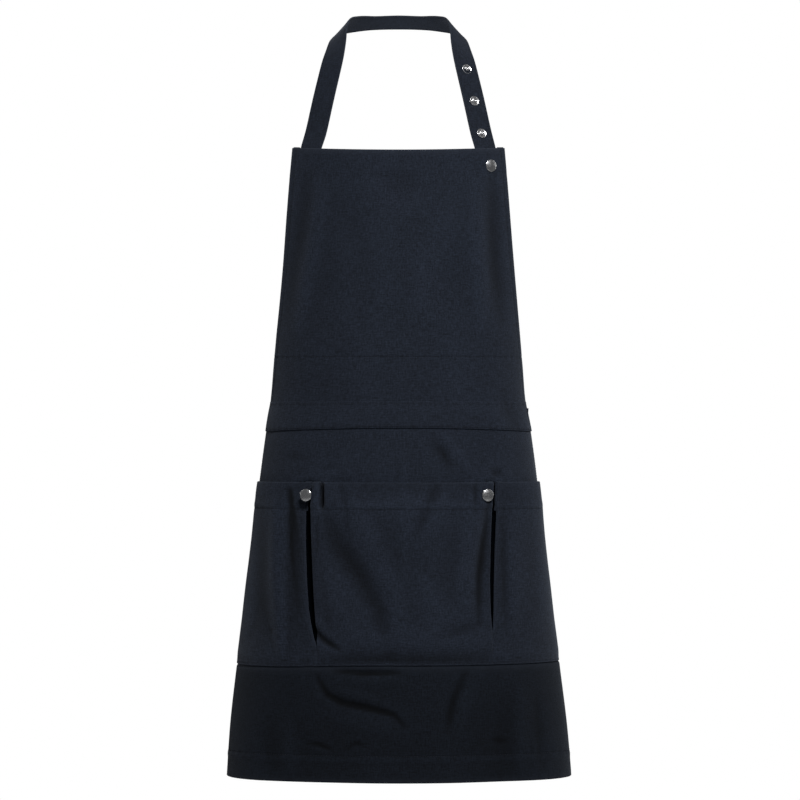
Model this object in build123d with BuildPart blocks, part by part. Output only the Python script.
from build123d import *
import os
from math import asin, cos, degrees, pi, radians, sin

os.makedirs("parts", exist_ok=True)

# An artist's smock apron, worn shape, as if a body stood in it.
# Frame: millimetres, +Z up, the front faces -Y, +X is to the right seen from the front.
# Origin: where the neck strap rests on the nape of the neck.

# ------------------------------------------------------------------ driving dimensions

cloth = 1.0  # thickness of the cotton twill
layer_gap = 0.2  # air between two layers that are sewn together
inner_layer = (-2 * cloth - layer_gap, -cloth - layer_gap)  # hems and facings, inside the panels
panel_layer = (-cloth, 0.0)

hem_z = -945.5  # bottom edge of the skirt
pocket_bottom_z = -802.0  # seam that closes the pockets and joins the two skirt panels
pocket_top_z = -579.0
waist_seam_z = -518.0
waistband_top_z = -484.0
waist_facing_z = -427.0  # top of the inner layer above the waistband
bib_top_z = -169.5
bib_facing_depth = 37.0
skirt_hem_depth = 35.0
pocket_hem_depth = 35.0
side_hem_share = 0.055  # side hem width as a share of half the panel
side_hem_gap = 0.005  # and the share left free between a side hem and a facing

# The body form behind the cloth: height, half width, depth from the front to the sides,
# how far round the cloth wraps (degrees from the front), and Y of the front.
form_levels = (
    (-945.5, 213.5, 124.0, 100.0, -212.5),
    (-877.0, 208.7, 121.0, 100.0, -209.0),
    (-802.0, 200.5, 116.0, 100.0, -205.0),
    (-727.0, 190.9, 110.0, 99.0, -202.0),
    (-652.0, 181.6, 102.0, 97.0, -198.0),
    (-579.0, 172.7, 92.0, 94.0, -193.5),
    (-518.0, 164.4, 79.0, 89.0, -189.0),
    (-484.0, 158.8, 74.0, 86.0, -187.0),
    (-432.0, 154.5, 66.0, 80.0, -186.0),
    (-354.5, 147.8, 56.0, 72.0, -183.0),
    (-243.5, 137.8, 45.0, 64.0, -178.0),
    (-169.5, 131.0, 40.0, 60.0, -173.0),
)

# Pockets
slit_left = (-113.0, -108.2)  # X of the side pocket's edge and of the centre pocket's edge
slit_right = (119.8, 115.8)
pocket_lift = 0.4  # least distance of a pocket from the skirt
side_edge_lift = 1.6  # more at the side pockets' upper edges, for the snap's prong ring
centre_edge_lift = side_edge_lift + cloth + 3.8  # and at the centre pocket's edges, for the whole snap
centre_belly = 6.0  # and more again in the middle of each pocket
side_belly = 8.0
belly_share = 0.45  # share of the pocket's height over which it swells out
belly_levels = (18.0, 42.0)  # extra levels above the bottom seam, where the swell is strongest
bottom_turn = 1.0  # a pocket's lower edge stops this far above the seam
centre_hem_reach = (0.12, 0.88)  # part of the width that the turned-in hem covers, clear of the snaps
side_hem_reach = (0.25, 0.80)
tab_step = 1.0  # a snap tab's upper edge lies this far below the pocket's
strip_steps = 16  # points across a bellied strip of cloth
side_pocket_reach = 0.955  # how far round the side pockets go, as a share of the wrap
snap_tab = 12.0  # how far a hem band reaches past its panel to carry a snap
pleat_width = 12.0
pleat_layer = (2.0, 3.0)
pleat_z = (-742.0, -616.0)

# Snap fasteners
cap_radius = 7.5
cap_height = 2.7
ring_radius = 6.2
socket_height = 2.7
socket_bore = 4.0
socket_floor = 0.5
flange_height = 0.7
stud_radius = 3.0
stud_height = 2.8
post_height = 1.0
snap_stack = 3.8  # between the two cloths of a closed snap
metal_gap = 0.35  # between a metal part and its cloth
bib_snap = (113.7, -189.5)  # X and Z
pocket_snap_z = -595.0
pocket_snap_x = {"left": -110.0, "right": 106.1}

# Neck strap: webbing along hand-laid stations, each a centre and the direction of its outer edge.
web_width = 30.0
web_thick = 1.6
sewn_end_rise = 2.4  # how much nearer the bib the sewn end lies than the snapped end
nape_run = (
    ((78.0, -101.0, -40.0), (0.80, 0.58, -0.15)),
    ((74.5, -80.0, -21.0), (0.72, 0.45, -0.55)),
    ((69.0, -56.0, -11.0), (0.60, 0.35, -0.72)),
    ((59.0, -28.0, -5.0), (0.48, 0.60, -0.66)),
    ((36.0, -6.0, -1.0), (0.18, 0.85, -0.50)),
)
nape = ((0.0, 0.4, 0.7), (0.0, 0.87, -0.49))
leg_run = (
    ((83.2, -116.5, -64.0), (0.84, 0.52, 0.12)),
    ((92.6, -127.0, -105.0), (0.86, 0.49, 0.17)),
    ((101.5, -134.5, -146.0), (0.86, 0.49, 0.17)),
)
stud_pitch = 42.4
strap_tail = 24.0  # strap below the last stud
crest_gap = 1.2  # between the two halves of the strap at the crest of the right shoulder
straight_run = 20.0  # strap above the last stud that lies flat behind the bib
sewn_tail = 16.0  # strap below the sewn end's last fold

# Waist ties
tie_width = 25.0
tie_thick = 1.4
tie_z = -501.0
tie_back_y = 2.0
tie_drop = 9.0
tie_side_gap = 1.5
tie_start_step = 2.0  # a tie starts this far behind the end of the waistband
tie_angles = (0, 12, 25, 40, 55, 70, 79, 84.5)  # degrees round the back from the side to the knot
loop_narrowing = 5.0  # how much narrower the folded loops of the bow are
knot_size = (27.0, 17.0, 28.0)
knot_front_y = -1.0
knot_corner = 8.0
knot_edge = 4.0
bow_loop = (
    ((-15.0, 7.0, -508.0), (0.0, 0.10, 1.0)),
    ((-38.0, 11.0, -504.0), (0.15, 0.10, 1.0)),
    ((-66.0, 15.0, -512.0), (0.45, 0.10, 0.9)),
    ((-84.0, 18.0, -530.0), (0.75, 0.10, 0.6)),
    ((-80.0, 25.0, -541.0), (0.85, -0.30, 0.5)),
    ((-60.0, 28.0, -531.0), (0.60, -0.20, 0.8)),
    ((-36.0, 24.0, -519.0), (0.35, -0.10, 0.9)),
    ((-15.0, 14.0, -511.0), (0.10, -0.05, 1.0)),
)
tie_tail = (
    ((-14.5, 7.0, -526.5), (1.0, 0.10, 0.0)),
    ((-18.0, 8.0, -560.0), (1.0, 0.15, 0.15)),
    ((-26.0, 6.0, -620.0), (0.98, 0.20, 0.18)),
    ((-34.0, 1.0, -690.0), (0.98, 0.15, 0.12)),
    ((-38.0, -3.0, -760.0), (1.0, 0.05, 0.05)),
    ((-40.0, -5.0, -830.0), (1.0, 0.0, 0.03)),
)

SIDES = {"left": -1, "right": 1}


# ------------------------------------------------------------------ the form


def form(z):
    """Radii, centre Y and wrap angle of the form's ellipse at a height."""
    for low, high in zip(form_levels, form_levels[1:]):
        if z <= high[0]:
            break
    share = (z - low[0]) / (high[0] - low[0])
    half, depth, wrap, front = (p + (q - p) * share for p, q in zip(low[1:], high[1:]))
    if wrap < 90:
        radius_x = half / sin(radians(wrap))
        radius_y = depth / (1 - cos(radians(wrap)))
    else:
        radius_x = half
        radius_y = depth
    return radius_x, radius_y, front + radius_y, wrap


def angle_at(z, x):
    """Angle from the front, in degrees, of the form's point with this X."""
    return degrees(asin(x / form(z)[0]))


def point_at(z, angle, offset):
    radius_x, radius_y, centre_y, _ = form(z)
    turn = radians(angle)
    return Vector((radius_x + offset) * sin(turn), centre_y - (radius_y + offset) * cos(turn), z)


def normal_at(z, angle):
    """The form's outward normal, with its lean."""
    across = point_at(z, angle + 1, 0) - point_at(z, angle - 1, 0)
    upward = point_at(z + 3, angle, 0) - point_at(z - 3, angle, 0)
    return across.cross(upward).normalized()


def heights(low, high):
    """Both ends and the form's own levels between them."""
    return [low] + [level[0] for level in form_levels if low < level[0] < high] + [high]


def save(piece, name):
    piece.part.label = name
    export_step(piece.part, f"parts/{name}.step")


# ------------------------------------------------------------------ cloth on the form


def band_section(z, start, end, layer):
    """The cut end of a band of cloth on the form, between two angles from the front."""
    radius_x, radius_y, centre_y, _ = form(z)
    with BuildSketch(Plane.XY.offset(z)) as section:
        with BuildLine():
            inner, outer = [
                EllipticalCenterArc(
                    (0, centre_y), radius_x + offset, radius_y + offset, start - 90, arc_size=end - start
                )
                for offset in layer
            ]
            Line(inner @ 0, outer @ 0)
            Line(inner @ 1, outer @ 1)
        make_face()
    return section.sketch


def cloth_piece(name, low, high, start, end, layer):
    """A band of cloth on the form, from share start to share end of the wrap."""
    sections = []
    for z in heights(low, high):
        wrap = form(z)[3]
        sections.append(band_section(z, start * wrap, end * wrap, layer))
    with BuildPart() as piece:
        loft(sections, ruled=True)
    save(piece, name)


def side_band(name, low, high, side, layer):
    """The turned-in hem along one side edge of a panel."""
    edges = sorted((side * (1 - side_hem_share), side))
    cloth_piece(name, low, high, edges[0], edges[1], layer)


body = 1 - side_hem_share - side_hem_gap  # share of the half panel between the side hems

cloth_piece("bib_panel", waistband_top_z, bib_top_z, -1, 1, panel_layer)
cloth_piece("bib_top_facing", bib_top_z - bib_facing_depth, bib_top_z, -1, 1, inner_layer)
cloth_piece("waist_facing", waistband_top_z, waist_facing_z, -body, body, inner_layer)
cloth_piece("waistband", waist_seam_z, waistband_top_z, -1, 1, (inner_layer[0], 0))
cloth_piece("skirt_upper_panel", pocket_bottom_z, waist_seam_z, -1, 1, panel_layer)
cloth_piece("skirt_lower_panel", hem_z, pocket_bottom_z, -1, 1, panel_layer)
cloth_piece("skirt_hem", hem_z, hem_z + skirt_hem_depth, -body, body, inner_layer)

for side_name, side in SIDES.items():
    side_band(f"bib_side_hem_{side_name}", waistband_top_z, bib_top_z - bib_facing_depth, side, inner_layer)
    side_band(f"skirt_side_hem_{side_name}", hem_z, waist_seam_z, side, inner_layer)


# ------------------------------------------------------------------ pockets


def swell(z):
    """0 at the bottom seam, 1 over the upper part of a pocket."""
    share = (z - pocket_bottom_z) / (pocket_top_z - pocket_bottom_z)
    return sin(pi / 2 * min(1, share / belly_share))


def centre_lift(z, share):
    return pocket_lift + (centre_edge_lift + centre_belly * sin(pi * share) ** 2) * swell(z)


def side_lift(z, share):
    return pocket_lift + (side_edge_lift + side_belly * sin(pi * share) ** 2) * swell(z)


def pocket_heights(low, high):
    """The form's levels, and two more low down where the pocket swells out."""
    extra = [pocket_bottom_z + rise for rise in belly_levels]
    return sorted(set(heights(low, high) + [z for z in extra if low < z < high]))


def pocket_section(z, start, end, lift, depth, edge_angles):
    """A strip of bellied cloth at one height. Lift is measured across the whole pocket."""
    rows = {0: [], cloth: []}
    for step in range(strip_steps + 1):
        angle = start + (end - start) * step / strip_steps
        share = (angle - edge_angles[0]) / (edge_angles[1] - edge_angles[0])
        for thickness, row in rows.items():
            row.append(point_at(z, angle, lift(z, min(1, max(0, share))) - depth + thickness))
    with BuildSketch(Plane.XY.offset(z)) as section:
        with BuildLine():
            inner = Spline(*[(p.X, p.Y) for p in rows[0]])
            outer = Spline(*[(p.X, p.Y) for p in rows[cloth]])
            Line(inner @ 0, outer @ 0)
            Line(inner @ 1, outer @ 1)
        make_face()
    return section.sketch


def centre_angles(z):
    return angle_at(z, slit_left[1]), angle_at(z, slit_right[1])


def side_angles(side):
    edge = slit_left[0] if side < 0 else slit_right[0]

    def at(z):
        return angle_at(z, edge), side * side_pocket_reach * form(z)[3]

    return at


def pocket_panel(name, lift, edge_angles, tab_x):
    """A pocket's front: the panel, and the tab of its hem band that reaches to tab_x for a snap."""
    panel_sections = []
    for z in pocket_heights(pocket_bottom_z + bottom_turn, pocket_top_z):
        edges = edge_angles(z)
        panel_sections.append(pocket_section(z, *edges, lift, 0, edges))
    tab_sections = []
    for z in (pocket_top_z - pocket_hem_depth, pocket_top_z - tab_step):
        edges = edge_angles(z)
        tab_sections.append(pocket_section(z, angle_at(z, tab_x), edges[0], lift, 0, edges))
    with BuildPart() as piece:
        loft(panel_sections, ruled=True)
        loft(tab_sections, ruled=True)
    save(piece, name)


def pocket_hem(name, lift, edge_angles, start_share, end_share):
    """The turned-in top hem, behind the pocket's panel."""
    sections = []
    for z in (pocket_top_z - pocket_hem_depth, pocket_top_z):
        start, end = edge_angles(z)
        width = end - start
        angles = (start + width * start_share, start + width * end_share)
        sections.append(pocket_section(z, *angles, lift, cloth + layer_gap, (start, end)))
    with BuildPart() as piece:
        loft(sections, ruled=True)
    save(piece, name)


pocket_panel("centre_pocket_panel", centre_lift, centre_angles, slit_left[1] - snap_tab)
pocket_hem("centre_pocket_hem", centre_lift, centre_angles, *centre_hem_reach)

for side_name, side in SIDES.items():
    angles = side_angles(side)
    tab_x = slit_left[0] + snap_tab if side < 0 else pocket_snap_x["right"] - ring_radius - 1
    pocket_panel(f"side_pocket_{side_name}", side_lift, angles, tab_x)
    pocket_hem(f"side_pocket_hem_{side_name}", side_lift, angles, *side_hem_reach)

# Pleats: the folded gusset between the skirt and each edge of the centre pocket, behind the slit.
for side_name, (outer_x, inner_x) in {"left": slit_left, "right": slit_right}.items():
    far_x = inner_x - pleat_width if inner_x > 0 else inner_x + pleat_width
    sections = []
    for z in heights(*pleat_z):
        low, high = sorted((angle_at(z, outer_x), angle_at(z, far_x)))
        sections.append(band_section(z, low, high, pleat_layer))
    with BuildPart() as pleat:
        loft(sections, ruled=True)
    save(pleat, f"pocket_pleat_{side_name}")


# ------------------------------------------------------------------ snap fasteners


def turning_plane(point, normal):
    """A plane through the snap's axis: local X is the radius, local Y the height along normal."""
    radial = normal.cross(Vector(0, 0, 1)).normalized()
    return Plane(origin=point, x_dir=radial, z_dir=radial.cross(normal))


def snap_cap(name, point, normal):
    """The domed outer cap with a rolled rim."""
    with BuildPart() as cap:
        with BuildSketch(turning_plane(point, normal)):
            with BuildLine():
                Line((0, metal_gap), (cap_radius - 0.8, metal_gap))
                ThreePointArc((cap_radius - 0.8, metal_gap), (cap_radius, 0.75), (cap_radius - 0.7, 1.5))
                TangentArc((0, cap_height), (cap_radius - 0.7, 1.5), tangent=(1, 0))
                Line((0, cap_height), (0, metal_gap))
            make_face()
        revolve(axis=Axis(point, normal))
    save(cap, name)


def snap_socket(name, point, normal):
    """The socket: a rolled ring round the bore that takes the stud."""
    top = socket_height
    with BuildPart() as socket:
        with BuildSketch(turning_plane(point, normal)):
            with BuildLine():
                Polyline(
                    (0, metal_gap),
                    (ring_radius - 0.6, metal_gap),
                    (ring_radius, 0.5),
                    (ring_radius, 1.1),
                    (ring_radius - 0.9, 1.5),
                    (socket_bore + 0.9, top - 0.5),
                    (socket_bore + 0.6, top),
                    (socket_bore + 0.2, top),
                    (socket_bore, top - 0.2),
                    (socket_bore, socket_floor),
                    (0, socket_floor),
                    close=True,
                )
            make_face()
        revolve(axis=Axis(point, normal))
    save(socket, name)


def snap_stud(name, point, normal):
    """The stud: a dished flange with a rolled rim, and the round boss that clicks into a socket."""
    with BuildPart() as stud:
        with BuildSketch(turning_plane(point, normal)):
            with BuildLine():
                Line((0, metal_gap), (ring_radius - 0.4, metal_gap))
                ThreePointArc(
                    (ring_radius - 0.4, metal_gap),
                    (ring_radius, (metal_gap + flange_height) / 2),
                    (ring_radius - 0.5, flange_height),
                )
                ThreePointArc(
                    (ring_radius - 0.5, flange_height),
                    (ring_radius - 1.0, flange_height - 0.15),
                    (ring_radius - 1.3, 0.45),
                )
                Line((ring_radius - 1.3, 0.45), (stud_radius + 0.3, 0.45))
                Line((stud_radius + 0.3, 0.45), (stud_radius, 0.7))
                Line((stud_radius, 0.7), (stud_radius, stud_height - 0.6))
                ThreePointArc(
                    (stud_radius, stud_height - 0.6),
                    (stud_radius - 0.2, stud_height - 0.2),
                    (stud_radius - 0.7, stud_height),
                )
                Line((stud_radius - 0.7, stud_height), (1.4, stud_height))
                TangentArc((0, stud_height - 0.5), (1.4, stud_height), tangent=(1, 0))
                Line((0, stud_height - 0.5), (0, metal_gap))
            make_face()
        revolve(axis=Axis(point, normal))
    save(stud, name)


def snap_post(name, point, normal):
    """The prong ring on the far side of the cloth from a stud."""
    with BuildPart() as post:
        with BuildSketch(turning_plane(point, normal)):
            with BuildLine():
                Line((0, metal_gap), (ring_radius - 1.2, metal_gap))
                ThreePointArc(
                    (ring_radius - 1.2, metal_gap),
                    (ring_radius - 0.7, post_height / 2),
                    (ring_radius - 1.2, post_height),
                )
                TangentArc((0, 0.6), (ring_radius - 1.2, post_height), tangent=(1, 0))
                Line((0, 0.6), (0, metal_gap))
            make_face()
        revolve(axis=Axis(point, normal))
    save(post, name)


snap_x, snap_z = bib_snap
snap_angle = angle_at(snap_z, snap_x)
bib_normal = normal_at(snap_z, snap_angle)
bib_face = point_at(snap_z, snap_angle, 0)
bib_back = bib_face + bib_normal * inner_layer[0]
snap_cap("bib_snap_cap", bib_face, bib_normal)
snap_socket("bib_snap_socket", bib_back, -bib_normal)

for side_name, x in pocket_snap_x.items():
    angle = angle_at(pocket_snap_z, x)
    normal = normal_at(pocket_snap_z, angle)
    under = point_at(pocket_snap_z, angle, 0)
    side_back = pocket_lift + side_edge_lift
    centre_back = pocket_lift + centre_edge_lift
    snap_post(f"pocket_snap_post_{side_name}", under + normal * side_back, -normal)
    snap_stud(f"pocket_snap_stud_{side_name}", under + normal * (side_back + cloth), normal)
    snap_socket(f"pocket_snap_socket_{side_name}", under + normal * centre_back, -normal)
    snap_cap(f"pocket_snap_cap_{side_name}", under + normal * (centre_back + cloth), normal)


# ------------------------------------------------------------------ webbing and tapes


def squared(stations):
    """Centre, direction along the tape and direction across it, at right angles, for each station."""
    centres = [Vector(centre) for centre, _ in stations]
    frames = []
    for index, (_, across) in enumerate(stations):
        before = centres[max(index - 1, 0)]
        after = centres[min(index + 1, len(centres) - 1)]
        along = (after - before).normalized()
        edge = Vector(across)
        edge = (edge - along * edge.dot(along)).normalized()
        frames.append((centres[index], along, edge))
    return frames


def tape(frames, width, thick):
    """The cross-sections of a flat tape at its stations."""
    sections = []
    for centre, along, edge in frames:
        with BuildSketch(Plane(origin=centre, x_dir=edge, z_dir=along)) as section:
            Rectangle(width, thick)
        sections.append(section.sketch)
    return sections


def mirrored(stations, side=-1):
    return [((side * c[0], c[1], c[2]), (side * a[0], a[1], a[2])) for c, a in stations]


def blunted(frames, gap):
    """The same frames with the last one drawn back by a gap along the tape."""
    centre, along, edge = frames[-1]
    return frames[:-1] + [(centre - along * gap, along, edge)]


# The end with the studs hangs behind the bib, in line with the last straight stretch of the leg.
anchor = bib_back - bib_normal * (snap_stack + web_thick / 2)
fall = Vector(*leg_run[-1][0]) - anchor
fall = (fall - bib_normal * fall.dot(bib_normal)).normalized()
edge_dir = bib_normal.cross(fall)
if edge_dir.X < 0:
    edge_dir = -edge_dir
snapped = [
    (tuple(anchor - fall * strap_tail), tuple(edge_dir)),
    (tuple(anchor), tuple(edge_dir)),
    (tuple(anchor + fall * straight_run), tuple(edge_dir)),
]
leg = snapped + list(reversed(leg_run))
crest = nape_run[0]
strap_end_frames = squared(leg + [crest])
whole_frames = squared(leg + list(nape_run) + [nape])
crest_frame = whole_frames[len(leg)]
strap_end_frames[-1] = crest_frame

with BuildPart() as neck_strap_end:
    loft(tape(blunted(strap_end_frames, crest_gap), web_width, web_thick), ruled=True)
save(neck_strap_end, "neck_strap_end")

# The sewn end lies nearer the bib; the strap comes forward to it along its last stretch.
rise = bib_normal * sewn_end_rise
sewn = [
    (tuple(anchor + fall * straight_run + rise * 0.6), tuple(edge_dir)),
    (tuple(anchor + rise), tuple(edge_dir)),
    (tuple(anchor - fall * sewn_tail + rise), tuple(edge_dir)),
]
left_leg = mirrored(list(nape_run)[::-1]) + mirrored(leg_run) + mirrored(sewn)
strap_frames = squared(list(nape_run) + [nape] + left_leg)
strap_frames[0] = crest_frame
with BuildPart() as neck_strap:
    loft(tape(strap_frames, web_width, web_thick), ruled=True)
save(neck_strap, "neck_strap")

# Four studs down the strap, facing the bib; the last one is in the bib's socket.
for number in range(4):
    travel = stud_pitch * number
    for below, above in zip(strap_end_frames[1:], strap_end_frames[2:]):
        stretch = (above[0] - below[0]).length
        if travel <= stretch:
            break
        travel -= stretch
    along = (above[0] - below[0]).normalized()
    spot = below[0] + along * travel
    edge = below[2] + (above[2] - below[2]) * (travel / stretch)
    facing = edge.cross(along).normalized()
    if facing.Y > 0:
        facing = -facing
    snap_stud(f"strap_stud_{4 - number}", spot + facing * (web_thick / 2), facing)
    snap_post(f"strap_post_{4 - number}", spot - facing * (web_thick / 2), -facing)


# ------------------------------------------------------------------ waist ties


def tie_run(side):
    """From the waistband's end round the back to the knot, dropping a little."""
    start = point_at(tie_z, form(tie_z)[3], -cloth)
    side_x = start.X - tie_side_gap
    side_y = start.Y + tie_start_step
    stations = []
    for angle in tie_angles:
        turn = radians(angle)
        centre = (
            side * side_x * cos(turn),
            side_y + (tie_back_y - side_y) * sin(turn),
            tie_z - tie_drop * sin(turn),
        )
        stations.append((centre, (0, 0, 1)))
    return stations


for side_name, side in SIDES.items():
    with BuildPart() as tie:
        loft(tape(squared(tie_run(side)), tie_width, tie_thick), ruled=True)
        loft(tape(squared(mirrored(bow_loop, -side)), tie_width - loop_narrowing, tie_thick), ruled=True)
        loft(tape(squared(mirrored(tie_tail, -side)), tie_width, tie_thick), ruled=True)
    save(tie, f"waist_tie_{side_name}")

with BuildPart() as waist_tie_knot:
    with BuildSketch(Plane.XZ.offset(-knot_front_y - knot_size[1])):
        with Locations((0, tie_z - tie_drop - 1)):
            RectangleRounded(knot_size[0], knot_size[2], knot_corner)
    extrude(amount=knot_size[1])
    fillet(waist_tie_knot.edges().filter_by(Plane.XZ).group_by(Axis.Y)[-1], knot_edge)
save(waist_tie_knot, "waist_tie_knot")
